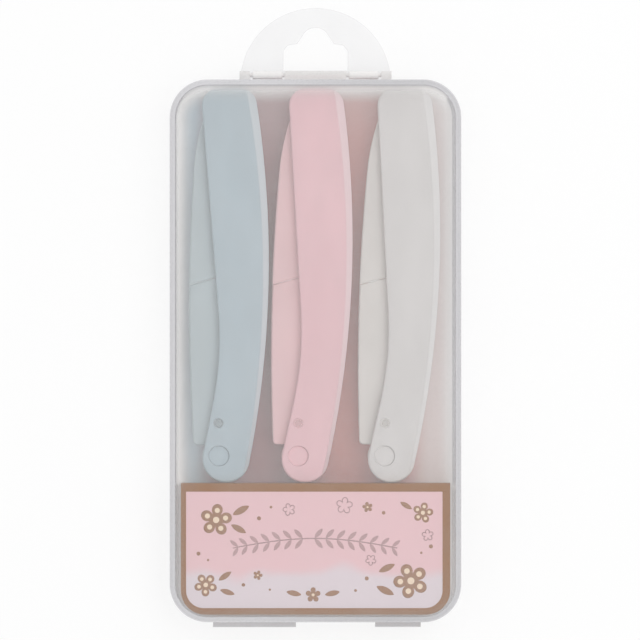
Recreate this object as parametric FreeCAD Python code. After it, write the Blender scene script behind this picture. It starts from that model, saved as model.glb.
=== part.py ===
import FreeCAD
import Part
import math
import os

# Boxed set of folding eyebrow razors: a flat translucent hang case, lying on its back.
# Millimetres. +X is the viewer's right, +Y runs to the hang tab, +Z faces the viewer.
# The origin is the middle of the back face's bounding box.

# Case; its width, length and depth follow from what lies in it and the room left round that
case_wall = 1.2
room_left = 4.15
room_right = 4.65
room_top = 1.0
room_front = 1.6
case_corner_radius = 9.5
case_edge_round = 1.6
case_inner_round = 1.0
split_height = 7.0
split_gap = 0.15

# Tongue on the base that locates the lid
tongue_height = 1.0
tongue_root = 1.5
tongue_thickness = 0.8
tongue_clearance = 0.2

# Thumb lips on the edge that opens
thumb_lip_reach = 1.25
thumb_lip_thickness = 1.4
lid_lip_centre = -15.25
lid_lip_width = 20.7
base_lip_centre = 20.6
base_lip_width = 11.4

# Hang tab and its slot; heights in the slot are counted from its straight lower edge
tab_radius = 18.9
tab_rise = 18.15
tab_thickness = 1.4
tab_edge_round = 0.45
slot_above_case = 2.4
slot_half_width = 8.05
slot_side_height = 5.0
slot_shoulder_half_width = 6.9
slot_shoulder_height = 6.4
slot_neck_half_width = 4.6
slot_neck_height = 6.75
slot_hump_half_width = 2.75
slot_hump_start = 9.55
slot_hump_height = 10.8

# Lid hinge
knuckle_radius = 1.0
knuckle_wall_clearance = 0.2
knuckle_gap = 0.7
middle_knuckle_width = 15.4
base_knuckle_width = 7.3
end_knuckle_width = 2.6
hinge_pin_radius = 0.55
hinge_clearance = 0.06

# Folded card
card_height = 32.75
card_side_clearance = 1.6
card_thickness = 0.4
card_corner_radius = 6.0
card_lid_clearance = 0.3
card_edge_clearance = 0.75
card_flap_inset = 0.5

# Razor places: each stands a gap from the one before it, turned a little to the left about its pivot
blue_turn_deg = 1.0
pink_turn_deg = -0.3
white_turn_deg = -0.65
pink_gap = 0.725
white_gap = 1.645
razor_card_gap = 0.15

# Razor handle, about the pivot, with the handle running up +Y
handle_thickness = 9.0
handle_top = 91.8
handle_end_radius = 5.85
handle_end_x = 1.72
handle_end_y = -0.8
handle_bow_x = 13.3
handle_bow_y = 53.0
handle_top_left_x = -3.0
lower_lean_deg = 12.0
upper_lean_deg = 3.55
waist_blend_radius = 84.0
handle_corner_radius = 4.2
handle_spine_wall = 2.6
handle_edge_round = 0.45
bevel_width_top = 2.2
bevel_width_end = 0.8
bevel_depth = 1.3

# Pivot and lock pip
pivot_radius = 1.5
pivot_clearance = 0.06
pivot_head_radius = 2.5
pivot_head_thickness = 1.35
pivot_head_ring = 0.06
pivot_spigot_radius = 0.8
pivot_spigot_length = 0.6
cap_sink = 0.5
lock_radius = 8.2
lock_hole_radius = 1.2
lock_pip_clearance = 0.32
lock_pip_depth = 0.7

# Arm, folded into the handle
arm_thickness = 3.6
arm_side_clearance = 0.3
arm_boss_radius = 4.2
arm_back_x = -6.95
arm_back_y = 28.0
arm_back_radius = 510.0
arm_heel_y = 2.8
arm_heel_round = 1.1
arm_front_x = 2.4
arm_nose_length = 16.0
arm_nose_radius = 55.0
arm_tip_clearance = 1.9
arm_tip_round = 0.8
arm_edge_round = 0.35
holder_front_x = 1.4
holder_tip_front_x = 2.7
seam_y = 42.6
seam_slope_deg = 14.8
seam_gap = 0.15

# Blade and guard
blade_thickness = 0.4
blade_edge_x = 4.6
blade_heel_above_seam = 4.8
blade_below_tip = 5.5
blade_point_drop = 2.0
blade_back_x = -4.6
blade_tip_back_x = -0.6
tang_width = 2.8
tang_length = 11.0
guard_width = 1.2
guard_overlap = 0.6
guard_thickness = 1.6
guard_end_margin = 1.0
guard_slot_width = 1.0
guard_slot_pitch = 2.5

# Places worked out from the sizes above
handle_low_reach = handle_end_radius - handle_end_y
neighbour_reach = handle_bow_x - arm_back_x
turns_deg = {"blue": blue_turn_deg, "pink": pink_turn_deg, "white": white_turn_deg}


def pitch(name, next_name, gap):
    """Distance between two pivots: the two razors' reaches and a gap, less what their turns open up."""
    opened = math.sin(math.radians(turns_deg[name])) - math.sin(math.radians(turns_deg[next_name]))
    return neighbour_reach + gap - handle_bow_y * opened


blue_to_pink = pitch("blue", "pink", pink_gap)
pink_to_white = pitch("pink", "white", white_gap)
content_width = -arm_back_x + blue_to_pink + pink_to_white + handle_bow_x
content_length = card_edge_clearance + card_height + razor_card_gap + handle_low_reach + handle_top
case_width = 2 * case_wall + room_left + content_width + room_right
case_length = 2 * case_wall + content_length + room_top
case_depth = 2 * case_wall + handle_thickness + room_front
reach = 2 * max(case_length, case_width)
tolerance = 1e-6
pick_distance = 0.01
total_length = thumb_lip_reach + case_length + tab_rise
case_low_y = thumb_lip_reach - total_length / 2
case_top_y = case_low_y + case_length
case_half = case_width / 2
lid_low_z = split_height + split_gap
lid_inner_z = case_depth - case_wall
hinge_y = case_top_y + knuckle_radius + knuckle_wall_clearance
hinge_z = split_height
card_width = case_width - 2 * (case_wall + card_side_clearance)
card_low_y = case_low_y + case_wall + card_edge_clearance
card_top_y = card_low_y + card_height
card_front_z = lid_inner_z - card_lid_clearance
pivot_y = card_top_y + razor_card_gap + handle_low_reach
blue_pivot_x = case_wall + room_left - arm_back_x - case_half
pivot_xs = {"blue": blue_pivot_x, "pink": blue_pivot_x + blue_to_pink}
pivot_xs["white"] = pivot_xs["pink"] + pink_to_white
razor_back_z = case_wall
razor_front_z = razor_back_z + handle_thickness
razor_mid_z = razor_back_z + handle_thickness / 2
lower_lean = math.radians(lower_lean_deg)
upper_lean = math.radians(upper_lean_deg)
lock_pip_radius = lock_hole_radius - lock_pip_clearance
arm_tip_y = handle_top - handle_spine_wall - arm_tip_clearance
arm_shoulder_y = arm_tip_y - arm_nose_length
blade_heel_y = seam_y + blade_heel_above_seam
blade_tip_y = arm_tip_y - blade_below_tip
blade_edge_top = blade_tip_y - blade_point_drop


def vec(x, y, z=0.0):
    return FreeCAD.Vector(x, y, z)


def line(start, end):
    return Part.LineSegment(start, end).toShape()


def arc(start, middle, end):
    return Part.Arc(start, middle, end).toShape()


def box(x_range, y_range, z_range):
    corner = vec(x_range[0], y_range[0], z_range[0])
    return Part.makeBox(x_range[1] - x_range[0], y_range[1] - y_range[0], z_range[1] - z_range[0], corner)


def slab(edges, z_low, z_high):
    """A flat outline, drawn at height zero, raised between two heights."""
    face = Part.Face(Part.Wire(edges))
    face.translate(vec(0, 0, z_low))
    return face.extrude(vec(0, 0, z_high - z_low))


def polygon(points, z_low, z_high):
    ends = points[1:] + points[:1]
    return slab([line(a, b) for a, b in zip(points, ends)], z_low, z_high)


def rod(radius, x, y, z_low, z_high):
    return Part.makeCylinder(radius, z_high - z_low, vec(x, y, z_low))


def edges_at_height(shape, z):
    return [e for e in shape.Edges if all(abs(v.Z - z) < tolerance for v in e.Vertexes)]


def upright_edges_near(shape, points):
    """The edges along Z that stand over the given points."""
    found = []
    for edge in shape.Edges:
        first, last = edge.Vertexes[0].Point, edge.Vertexes[-1].Point
        upright = abs(first.x - last.x) < tolerance and abs(first.y - last.y) < tolerance
        if upright and any(math.hypot(first.x - p.x, first.y - p.y) < pick_distance for p in points):
            found.append(edge)
    return found


def soften(shape, radius, z_low, z_high):
    """Rounds the edges round a flat piece's two faces."""
    return shape.makeFillet(radius, edges_at_height(shape, z_low) + edges_at_height(shape, z_high))


def rounded_block(inset, z_low, z_high):
    """The case's outline, drawn in by an inset, raised between two heights."""
    x_half = case_half - inset
    block = box((-x_half, x_half), (case_low_y + inset, case_top_y - inset), (z_low, z_high))
    corners = [e for e in block.Edges if abs(e.Vertexes[0].Z - e.Vertexes[1].Z) > tolerance]
    return block.makeFillet(case_corner_radius - inset, corners)


def case_half_shell(z_open, z_closed):
    """One half of the case: a shell open at one height and closed at the other, with round edges."""
    inward = case_wall if z_open > z_closed else -case_wall
    outer = rounded_block(0.0, min(z_open, z_closed), max(z_open, z_closed))
    outer = outer.makeFillet(case_edge_round, edges_at_height(outer, z_closed))
    z_floor = z_closed + inward
    inner = rounded_block(case_wall, min(z_open, z_floor), max(z_open, z_floor))
    inner = inner.makeFillet(case_inner_round, edges_at_height(inner, z_floor))
    return outer.cut(inner)


def knuckle_spans():
    """X spans of the hinge's knuckles: those of the lid, then those of the base."""
    middle = middle_knuckle_width / 2
    base_start = middle + knuckle_gap
    base_end = base_start + base_knuckle_width
    end_start = base_end + knuckle_gap
    end_stop = end_start + end_knuckle_width
    lid_spans = [(-end_stop, -end_start), (-middle, middle), (end_start, end_stop)]
    base_spans = [(-base_end, -base_start), (base_start, base_end)]
    return lid_spans, base_spans


def along_hinge(radius, span):
    return Part.makeCylinder(radius, span[1] - span[0], vec(span[0], hinge_y, hinge_z), vec(1, 0, 0))


def hang_slot():
    """The peg hole of the hang tab: a wide straight-bottomed slot with a round hump in the middle."""
    y = case_top_y + slot_above_case
    right = [
        vec(slot_half_width, y),
        vec(slot_half_width, y + slot_side_height),
        vec(slot_shoulder_half_width, y + slot_shoulder_height),
        vec(slot_neck_half_width, y + slot_neck_height),
        vec(slot_hump_half_width, y + slot_hump_start),
    ]
    left = [vec(-p.x, p.y) for p in right]
    edges = [line(left[0], right[0])]
    edges += [line(a, b) for a, b in zip(right, right[1:])]
    edges.append(arc(right[-1], vec(0, y + slot_hump_height), left[-1]))
    edges += [line(b, a) for a, b in reversed(list(zip(left, left[1:])))]
    return slab(edges, -tab_thickness, 2 * tab_thickness)


def thumb_lip(centre, width, z_low):
    x_range = (centre - width / 2, centre + width / 2)
    y_range = (case_low_y - thumb_lip_reach, case_low_y + case_wall / 2)
    return box(x_range, y_range, (z_low, z_low + thumb_lip_thickness))


def locating_tongue():
    """A band inside the base's walls that stands above the split, left off at the hinge end."""
    outer = case_wall + tongue_clearance
    band = rounded_block(outer, split_height - tongue_root, split_height + tongue_height)
    hollow = rounded_block(outer + tongue_thickness, split_height - tongue_root, split_height + tongue_height)
    root = rounded_block(case_wall / 2, split_height - tongue_root, split_height)
    hinge_end = box((-reach, reach), (case_top_y - case_corner_radius, reach), (0, case_depth))
    return band.fuse(root).cut(hollow).cut(hinge_end)


def make_case_base():
    _, base_spans = knuckle_spans()
    base = case_half_shell(split_height, 0.0)
    tab = rod(tab_radius, 0, case_top_y + tab_rise - tab_radius, 0, tab_thickness)
    tab = tab.makeFillet(tab_edge_round, edges_at_height(tab, tab_thickness))
    case_side = box((-reach, reach), (-reach, case_top_y - case_edge_round), (0, tab_thickness))
    base = base.fuse(tab.cut(case_side))
    base = base.fuse(locating_tongue())
    base = base.fuse(thumb_lip(base_lip_centre, base_lip_width, split_height - thumb_lip_thickness))
    for span in base_spans:
        y_range = (case_top_y - case_wall / 2, hinge_y + knuckle_radius)
        base = base.fuse(box(span, y_range, (0, hinge_z)))
        base = base.fuse(along_hinge(knuckle_radius, span))
    for span in base_spans:
        base = base.cut(along_hinge(hinge_pin_radius, span))
    return base.cut(hang_slot()).removeSplitter()


def make_case_lid():
    lid_spans, _ = knuckle_spans()
    lid = case_half_shell(lid_low_z, case_depth)
    lid = lid.fuse(thumb_lip(lid_lip_centre, lid_lip_width, lid_low_z))
    for span in lid_spans:
        y_range = (case_top_y - case_wall / 2, hinge_y)
        lid = lid.fuse(box(span, y_range, (lid_low_z, hinge_z + knuckle_radius)))
        lid = lid.fuse(along_hinge(knuckle_radius, span))
    for span in lid_spans:
        lid = lid.cut(along_hinge(hinge_pin_radius + hinge_clearance, span))
    return lid.removeSplitter()


def make_hinge_pin():
    lid_spans, _ = knuckle_spans()
    return along_hinge(hinge_pin_radius, (lid_spans[0][0], lid_spans[-1][1]))


def make_insert_card():
    """A front panel with a flap folded back at its top and another near its bottom."""
    half = card_width / 2
    back_z = card_front_z - card_thickness
    panel = box((-half, half), (card_low_y, card_top_y), (back_z, card_front_z))
    low_corners = upright_edges_near(panel, [vec(-half, card_low_y), vec(half, card_low_y)])
    panel = panel.makeFillet(card_corner_radius, low_corners)
    flap_z = (case_wall, back_z)
    top_flap = box((-half, half), (card_top_y - card_thickness, card_top_y), flap_z)
    low_flap_half = half - card_corner_radius
    tongue_face_y = case_low_y + case_wall + tongue_clearance + tongue_thickness
    low_flap_y = tongue_face_y + card_flap_inset
    low_flap = box((-low_flap_half, low_flap_half), (low_flap_y, low_flap_y + card_thickness), flap_z)
    return panel.fuse(top_flap).fuse(low_flap).removeSplitter()


# The handle's bowed edge is one arc, tangent to the round end; its radius follows from that.
bow_run = handle_bow_x - handle_end_x
bow_rise = handle_bow_y - handle_end_y
bow_radius = (bow_run ** 2 + bow_rise ** 2 - handle_end_radius ** 2) / (2 * (bow_run - handle_end_radius))
bow_centre = vec(handle_bow_x - bow_radius, handle_bow_y)


def bow_point(y, inset=0.0):
    """A point of the bowed edge, or of a concentric edge drawn in by an inset."""
    radius = bow_radius - inset
    return vec(bow_centre.x + math.sqrt(radius ** 2 - (y - bow_centre.y) ** 2), y)


def handle_outline():
    """Round end, leaning lower back, blended waist, upper back, flat top and bowed front."""
    end_centre = vec(handle_end_x, handle_end_y)
    lower_run = vec(math.sin(lower_lean), math.cos(lower_lean))
    upper_run = vec(-math.sin(upper_lean), math.cos(upper_lean))
    back_start = end_centre + vec(-lower_run.y, lower_run.x) * handle_end_radius
    top_left = vec(handle_top_left_x, handle_top)
    across = upper_run.x * lower_run.y - upper_run.y * lower_run.x
    offset = top_left - back_start
    along = (upper_run.x * offset.y - upper_run.y * offset.x) / across
    waist = back_start + lower_run * along
    half_turn = (lower_lean + upper_lean) / 2
    tangent = waist_blend_radius * math.tan(half_turn)
    sagitta = waist_blend_radius * (1 / math.cos(half_turn) - 1)
    inward = upper_run - lower_run
    inward.normalize()
    blend_start = waist - lower_run * tangent
    blend_end = waist + upper_run * tangent
    to_end = end_centre - bow_centre
    to_end.normalize()
    bow_start = bow_centre + to_end * bow_radius
    bow_end = bow_point(handle_top)
    end_bottom = end_centre + vec(0, -handle_end_radius)
    return [
        line(back_start, blend_start),
        arc(blend_start, waist + inward * sagitta, blend_end),
        line(blend_end, top_left),
        line(top_left, bow_end),
        arc(bow_end, bow_point((bow_start.y + handle_top) / 2), bow_start),
        arc(bow_start, end_bottom, back_start),
    ]


def bevel_wire(z, width_end, width_top):
    """A closed outline round the handle whose bowed side is drawn in by two widths."""
    low_y = handle_end_y - 2 * handle_end_radius
    high_y = handle_top + handle_end_radius
    mid_y = (low_y + high_y) / 2
    low = bow_point(low_y, width_end)
    mid = bow_point(mid_y, (width_end + width_top) / 2)
    high = bow_point(high_y, width_top)
    far_x = -handle_top
    corners = [vec(p.x, p.y, z) for p in (low, mid, high, vec(far_x, high_y), vec(far_x, low_y))]
    low, mid, high, far_high, far_low = corners
    return Part.Wire([arc(low, mid, high), line(high, far_high), line(far_high, far_low), line(far_low, low)])


def make_handle():
    """A channel with two cheeks, open along its back and at the pivot, bevelled along its bowed edge."""
    handle = slab(handle_outline(), razor_back_z, razor_front_z)
    top_corners = [vec(handle_top_left_x, handle_top), bow_point(handle_top)]
    handle = handle.makeFillet(handle_corner_radius, upright_edges_near(handle, top_corners))
    bevel_levels = [
        (razor_back_z, bevel_width_end, bevel_width_top),
        (razor_back_z + bevel_depth, 0.0, 0.0),
        (razor_front_z - bevel_depth, 0.0, 0.0),
        (razor_front_z, bevel_width_end, bevel_width_top),
    ]
    envelope = Part.makeLoft([bevel_wire(*level) for level in bevel_levels], True, True)
    handle = soften(handle.common(envelope), handle_edge_round, razor_back_z, razor_front_z)
    channel_half = arm_thickness / 2 + arm_side_clearance
    low_y = handle_end_y - 2 * handle_end_radius
    high_y = handle_top - handle_spine_wall
    low = bow_point(low_y, handle_spine_wall)
    mid = bow_point((low_y + high_y) / 2, handle_spine_wall)
    high = bow_point(high_y, handle_spine_wall)
    far_x = -handle_top
    far_high = vec(far_x, high_y)
    far_low = vec(far_x, low_y)
    channel = [arc(low, mid, high), line(high, far_high), line(far_high, far_low), line(far_low, low)]
    handle = handle.cut(slab(channel, razor_mid_z - channel_half, razor_mid_z + channel_half))
    recess_radius = pivot_head_radius + pivot_head_ring
    holes = [
        rod(pivot_radius, 0, 0, razor_back_z, razor_front_z),
        rod(pivot_head_radius, 0, 0, razor_back_z, razor_back_z + pivot_head_thickness),
        rod(recess_radius, 0, 0, razor_front_z - pivot_head_thickness, razor_front_z),
        rod(lock_hole_radius, 0, lock_radius, razor_back_z, razor_front_z),
    ]
    for hole in holes:
        handle = handle.cut(hole)
    return handle


def make_pivot_pin():
    shoulder_z = razor_front_z - pivot_head_thickness
    head = rod(pivot_head_radius, 0, 0, razor_back_z, razor_back_z + pivot_head_thickness)
    shaft = rod(pivot_radius, 0, 0, razor_back_z, shoulder_z)
    spigot = rod(pivot_spigot_radius, 0, 0, razor_back_z, shoulder_z + pivot_spigot_length)
    return head.fuse(shaft).fuse(spigot).removeSplitter()


def make_pivot_cap():
    """The button that closes the pivot, sunk a little below the handle's front."""
    low_z = razor_front_z - pivot_head_thickness
    cap = rod(pivot_head_radius, 0, 0, low_z, razor_front_z - cap_sink)
    return cap.cut(rod(pivot_spigot_radius, 0, 0, low_z, low_z + pivot_spigot_length))


def arm_back_point(y):
    """A point of the arm's long, gently curved back."""
    centre_x = arm_back_x + arm_back_radius
    return vec(centre_x - math.sqrt(arm_back_radius ** 2 - (y - arm_back_y) ** 2), y)


def arm_nose_point(y):
    """A point of the tighter curve that carries the back on to the arm's tip."""
    shoulder = arm_back_point(arm_shoulder_y)
    inward = vec(arm_back_x + arm_back_radius, arm_back_y) - shoulder
    inward.normalize()
    centre = shoulder + inward * arm_nose_radius
    return vec(centre.x - math.sqrt(arm_nose_radius ** 2 - (y - centre.y) ** 2), y)


def seam_point(x, lift=0.0):
    """A point of the slanted seam between the arm and the blade holder."""
    return vec(x, seam_y + lift + (x - arm_back_x) * math.tan(math.radians(seam_slope_deg)))


arm_low_z = razor_mid_z - arm_thickness / 2
arm_high_z = razor_mid_z + arm_thickness / 2


def make_blade():
    """A tapering blade with a tang below its heel, its edge towards the handle's spine."""
    tang_low = blade_heel_y - tang_length
    outline = [
        vec(blade_back_x, tang_low),
        vec(blade_back_x + tang_width, tang_low),
        vec(blade_back_x + tang_width, blade_heel_y),
        vec(blade_edge_x, blade_heel_y),
        vec(blade_edge_x, blade_edge_top),
        vec(blade_tip_back_x, blade_tip_y),
        vec(blade_back_x, blade_heel_y),
    ]
    return polygon(outline, razor_mid_z - blade_thickness / 2, razor_mid_z + blade_thickness / 2)


def make_arm(blade):
    """The shank from the pivot boss to the seam, with the lock pip and a pocket for the tang."""
    heel = arm_back_point(arm_heel_y)
    back_end = arm_back_point(seam_y)
    outline = [
        arc(heel, arm_back_point((arm_heel_y + seam_y) / 2), back_end),
        line(back_end, seam_point(arm_front_x)),
        line(seam_point(arm_front_x), vec(arm_boss_radius, 0)),
        line(vec(arm_boss_radius, 0), vec(0, 0)),
        line(vec(0, 0), vec(0, arm_heel_y)),
        line(vec(0, arm_heel_y), heel),
    ]
    arm = slab(outline, arm_low_z, arm_high_z)
    arm = arm.makeFillet(arm_heel_round, upright_edges_near(arm, [heel]))
    arm = arm.fuse(rod(arm_boss_radius, 0, 0, arm_low_z, arm_high_z)).removeSplitter()
    arm = soften(arm, arm_edge_round, arm_low_z, arm_high_z)
    pip_range = (razor_back_z + lock_pip_depth, razor_front_z - lock_pip_depth)
    arm = arm.fuse(rod(lock_pip_radius, 0, lock_radius, *pip_range)).removeSplitter()
    arm = arm.cut(rod(pivot_radius + pivot_clearance, 0, 0, razor_back_z, razor_front_z))
    return arm.cut(blade)


def make_blade_holder(blade):
    """The arm's upper half: it grips the blade's back and ends in the rounded tip."""
    low = arm_back_point(seam_y + seam_gap)
    shoulder = arm_back_point(arm_shoulder_y)
    tip = arm_nose_point(arm_tip_y)
    front_low = seam_point(holder_front_x, seam_gap)
    front_top = vec(holder_tip_front_x, arm_tip_y)
    outline = [
        arc(low, arm_back_point((low.y + arm_shoulder_y) / 2), shoulder),
        arc(shoulder, arm_nose_point((arm_shoulder_y + arm_tip_y) / 2), tip),
        line(tip, front_top),
        line(front_top, front_low),
        line(front_low, low),
    ]
    holder = slab(outline, arm_low_z, arm_high_z)
    holder = holder.makeFillet(arm_tip_round, upright_edges_near(holder, [tip, front_top]))
    return soften(holder, arm_edge_round, arm_low_z, arm_high_z).cut(blade)


def make_skin_guard(blade):
    """A grooved strip over the blade's edge with a row of slots that lets the edge through."""
    x_range = (blade_edge_x - guard_overlap, blade_edge_x - guard_overlap + guard_width)
    y_range = (blade_heel_y + guard_end_margin, blade_edge_top - guard_end_margin)
    z_range = (razor_mid_z - guard_thickness / 2, razor_mid_z + guard_thickness / 2)
    guard = box(x_range, y_range, z_range)
    middle_y = (y_range[0] + y_range[1]) / 2
    slot_count = int((y_range[1] - y_range[0] - guard_slot_width) / guard_slot_pitch)
    for index in range(slot_count):
        slot_y = middle_y + (index - (slot_count - 1) / 2) * guard_slot_pitch
        slot_range = (slot_y - guard_slot_width / 2, slot_y + guard_slot_width / 2)
        guard = guard.cut(box((blade_edge_x, x_range[1]), slot_range, z_range))
    return guard.cut(blade)


def make_razor():
    """The pieces of one folded razor, with its pivot at the origin of X and Y."""
    blade = make_blade()
    return {
        "handle": make_handle(),
        "pivot_pin": make_pivot_pin(),
        "pivot_cap": make_pivot_cap(),
        "arm": make_arm(blade),
        "blade_holder": make_blade_holder(blade),
        "blade": blade,
        "skin_guard": make_skin_guard(blade),
    }


def make_all():
    parts = {
        "case_base": make_case_base(),
        "case_lid": make_case_lid(),
        "hinge_pin": make_hinge_pin(),
        "insert_card": make_insert_card(),
    }
    razor = make_razor()
    for name, pivot_x in pivot_xs.items():
        for piece, shape in razor.items():
            turned = shape.rotated(vec(0, 0), vec(0, 0, 1), turns_deg[name])
            parts[name + "_" + piece] = turned.translated(vec(pivot_x, pivot_y))
    return parts


os.makedirs("parts", exist_ok=True)
for node, shape in make_all().items():
    shape.exportStep("parts/" + node + ".step")
    print(node, len(shape.Solids), shape.isValid(), round(shape.Volume, 2))
print("case", case_width, case_length, case_depth, "pivots", pivot_xs, pivot_y, "hinge", hinge_y, hinge_z)
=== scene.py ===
import functools
import math
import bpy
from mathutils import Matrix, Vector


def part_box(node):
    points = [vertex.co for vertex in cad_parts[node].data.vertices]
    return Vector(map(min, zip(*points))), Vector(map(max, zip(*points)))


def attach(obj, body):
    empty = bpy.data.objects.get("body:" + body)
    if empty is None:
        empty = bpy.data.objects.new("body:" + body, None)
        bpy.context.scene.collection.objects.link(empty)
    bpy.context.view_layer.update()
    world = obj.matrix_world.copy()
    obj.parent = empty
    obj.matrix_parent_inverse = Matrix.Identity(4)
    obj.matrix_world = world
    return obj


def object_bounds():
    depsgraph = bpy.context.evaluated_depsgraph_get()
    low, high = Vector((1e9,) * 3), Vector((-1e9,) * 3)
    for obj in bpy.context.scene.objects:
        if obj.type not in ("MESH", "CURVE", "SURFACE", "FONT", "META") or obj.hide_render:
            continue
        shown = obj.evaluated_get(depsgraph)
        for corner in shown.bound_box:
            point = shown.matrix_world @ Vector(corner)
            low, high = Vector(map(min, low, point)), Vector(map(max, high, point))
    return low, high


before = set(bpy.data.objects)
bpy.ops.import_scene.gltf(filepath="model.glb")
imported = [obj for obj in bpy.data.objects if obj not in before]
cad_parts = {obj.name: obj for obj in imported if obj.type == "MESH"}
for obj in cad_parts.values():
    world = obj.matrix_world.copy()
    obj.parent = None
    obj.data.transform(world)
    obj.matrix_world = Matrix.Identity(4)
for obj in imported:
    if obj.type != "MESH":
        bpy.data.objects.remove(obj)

import types

import bpy
import numpy as np

bl_info = {
    "name": "Folding Razor Set",
    "version": (1, 0, 0),
    "blender": (4, 5, 0),
    "location": "3D View > Sidebar > Razor Set",
    "description": "Finishes, card print and studio stage for a boxed set of three folding brow razors",
    "category": "Object",
}

MM = 0.001
CAD_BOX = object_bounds()
BLACK = (0.0, 0.0, 0.0)
WHITE = (1.0, 1.0, 1.0, 1.0)
MOULDED = {"IOR": 1.49, "Specular_IOR_Level": 0.4}
BOARD = {"IOR": 1.45, "Specular_IOR_Level": 0.35}
EDGE_TURN = (0.01, 0.25)
EDGE_SAMPLES = 6

# Razors in plan, measured from their pivots. Each lies turned to the left by its degrees.
SHADES = ("blue", "pink", "white")
TURNS = {"blue": 1.0, "pink": -0.3, "white": -0.65}
BOW_RADIUS = 261.28 * MM
BOW_CENTRE = (-247.98 * MM, 53.0 * MM)
BEVEL_RUN = (-12.5 * MM, 97.5 * MM)
BEVEL_EDGE = (-0.4 * MM, 0.1 * MM)
LOCK_REACH = 8.2 * MM
LOCK_RADII = (0.88 * MM, 1.2 * MM)
# LOCK_LIGHT_SHARE and CAP_LIGHT_SHARES are how strongly painted light lifts the shade in the rings round the
# lock pip and the pivot cap; at the cap it fades from left to right over CAP_TURN.
LOCK_LIGHT_SHARE = 0.75
PIP_EDGE = (0.12 * MM, 0.02 * MM)
CAP_RADII = (2.5 * MM, 2.56 * MM)
CAP_LIGHT_SHARES = (0.7, 0.15)
CAP_TURN = 1.5 * MM
RING_EDGE = (0.06 * MM, 0.01 * MM)
RING_DEPTHS = (0.2 * MM, 0.05 * MM)
SEAM_START = (-6.95 * MM, 42.6 * MM)
SEAM_SLOPE = math.tan(math.radians(14.8))
SEAM_WIDTH = 0.15 * MM
SEAM_SPARE = 0.01 * MM
SEAM_EDGE = 0.03 * MM
FLOW_STRETCH = (1.0, 3.0, 1.0)
FLOW_RANGE = (0.3, 0.7)
GRIND_STRETCH = (0.05, 4.0, 0.05)

# Case in plan. A pair is where a change starts and where it ends.
CARD_LOW, CARD_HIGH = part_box("insert_card")
BASE_LOW, BASE_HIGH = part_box("case_base")
LID_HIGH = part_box("case_lid")[1]
CARD_MARGIN = 1.95 * MM
CASE_LENGTH = 135.5 * MM
CASE_LOW = Vector((BASE_LOW.x, CARD_LOW.y - CARD_MARGIN, BASE_LOW.z))
CASE_HIGH = Vector((BASE_HIGH.x, CASE_LOW.y + CASE_LENGTH, LID_HIGH.z))
FACE_DEPTHS = (1.9 * MM, 1.2 * MM)
CARD_EDGE = (CARD_HIGH.y - 1.0 * MM, CARD_HIGH.y + 1.0 * MM)
LID_TOP = (CASE_HIGH.y - 6.0 * MM, CASE_HIGH.y - 3.0 * MM)
RIGHT_WALL = (32.4 * MM, 33.4 * MM)
OUTLINE = (-0.15 * MM, -0.02 * MM)
UPPER_HALF = (-10.0 * MM, 10.0 * MM)
RAISED = (2.0 * MM, 5.0 * MM)
# The tray floor's painted reflection and shade: TRAY_EDGE is where it rises away from the walls, TRAY_TOP
# where it fades at the top, and the three runs are where it changes from razor to razor.
TRAY_EDGE = (2.2 * MM, 6.2 * MM)
TRAY_TOP = (34.0 * MM, 57.0 * MM)
BLUE_RUN = (-31.0 * MM, -23.0 * MM)
PINK_RUN = (-8.0 * MM, 6.0 * MM)
WHITE_RUN = (21.0 * MM, 29.0 * MM)
# RIM_RUN is where the rim's painted light gives way to its painted shade.
RIM_RUN = (-20.0 * MM, 20.0 * MM)

# Case in plan, measured inwards from the inside of the rim. A line is its middle, half width and soft edge.
RIM_EDGE = (-0.1 * MM, 0.05 * MM)
LINE = (0.1 * MM, 0.08 * MM, 0.14 * MM)
RIGHT_LINE = (0.45 * MM, 0.3 * MM, 0.25 * MM)
# The pale band inside the rim is a painted highlight; these are where it has risen and where it starts to
# fade.
RIM_HIGHLIGHT_START = 0.3 * MM
RIM_HIGHLIGHT_FADE = 0.5 * MM

# Board of the card, in metres.
FIELD_SPARE = Vector((0.0, 10.0 * MM, 0.0))
CLOUD_STRETCH = (1.0, 1.0, 8.0)
CLOUD_EDGE = (-1.0 * MM, 2.6 * MM)

# Print on the card, in mm from its lower left corner. A row is across, along, size and turn in radians,
# and beads have no turn.
BLOSSOMS = (
    (8.8, 23.6, 4.0, 0.2),
    (57.4, 8.4, 4.4, 0.7),
    (60.4, 25.4, 2.6, 0.1),
    (6.2, 7.4, 2.9, 0.9),
    (33.0, 4.9, 1.9, 0.3),
    (46.6, 26.8, 1.3, 0.5),
    (19.2, 9.8, 1.2, 0.0),
)
DOTTED_BLOSSOMS = 4
LEAVES = (
    (15.0, 26.0, 2.3, 0.5),
    (14.4, 21.4, 2.1, -0.5),
    (51.0, 6.0, 2.4, 2.7),
    (51.4, 11.6, 2.2, -2.7),
    (11.0, 9.6, 1.9, 0.6),
    (11.6, 5.6, 1.9, -0.3),
    (56.2, 27.2, 1.7, 2.6),
    (37.8, 5.3, 1.9, 0.2),
    (28.2, 5.3, 1.9, 2.94),
)
BEADS = (
    (19.5, 24.0, 0.5),
    (22.5, 26.8, 0.35),
    (46.4, 9.0, 0.5),
    (43.6, 6.0, 0.35),
    (15.6, 7.4, 0.45),
    (22.2, 6.2, 0.3),
    (50.6, 25.4, 0.45),
    (62.4, 17.0, 0.5),
    (4.4, 15.2, 0.5),
    (60.0, 15.4, 0.3),
    (6.8, 13.6, 0.3),
)
RINGS = (
    (40.8, 27.2, 2.0, 0.2),
    (27.0, 26.2, 1.5, 0.6),
    (47.4, 13.6, 1.3, 0.9),
    (61.6, 19.8, 1.4, 0.4),
)
PETALS = 5
PETAL_WAIST = 0.42
HEART_SIZE = 0.2
DOT_REACH = 0.6
DOT_SIZE = 0.16
LEAF_WIDTH = 0.36
RING_WIDTH = 0.22
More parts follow.
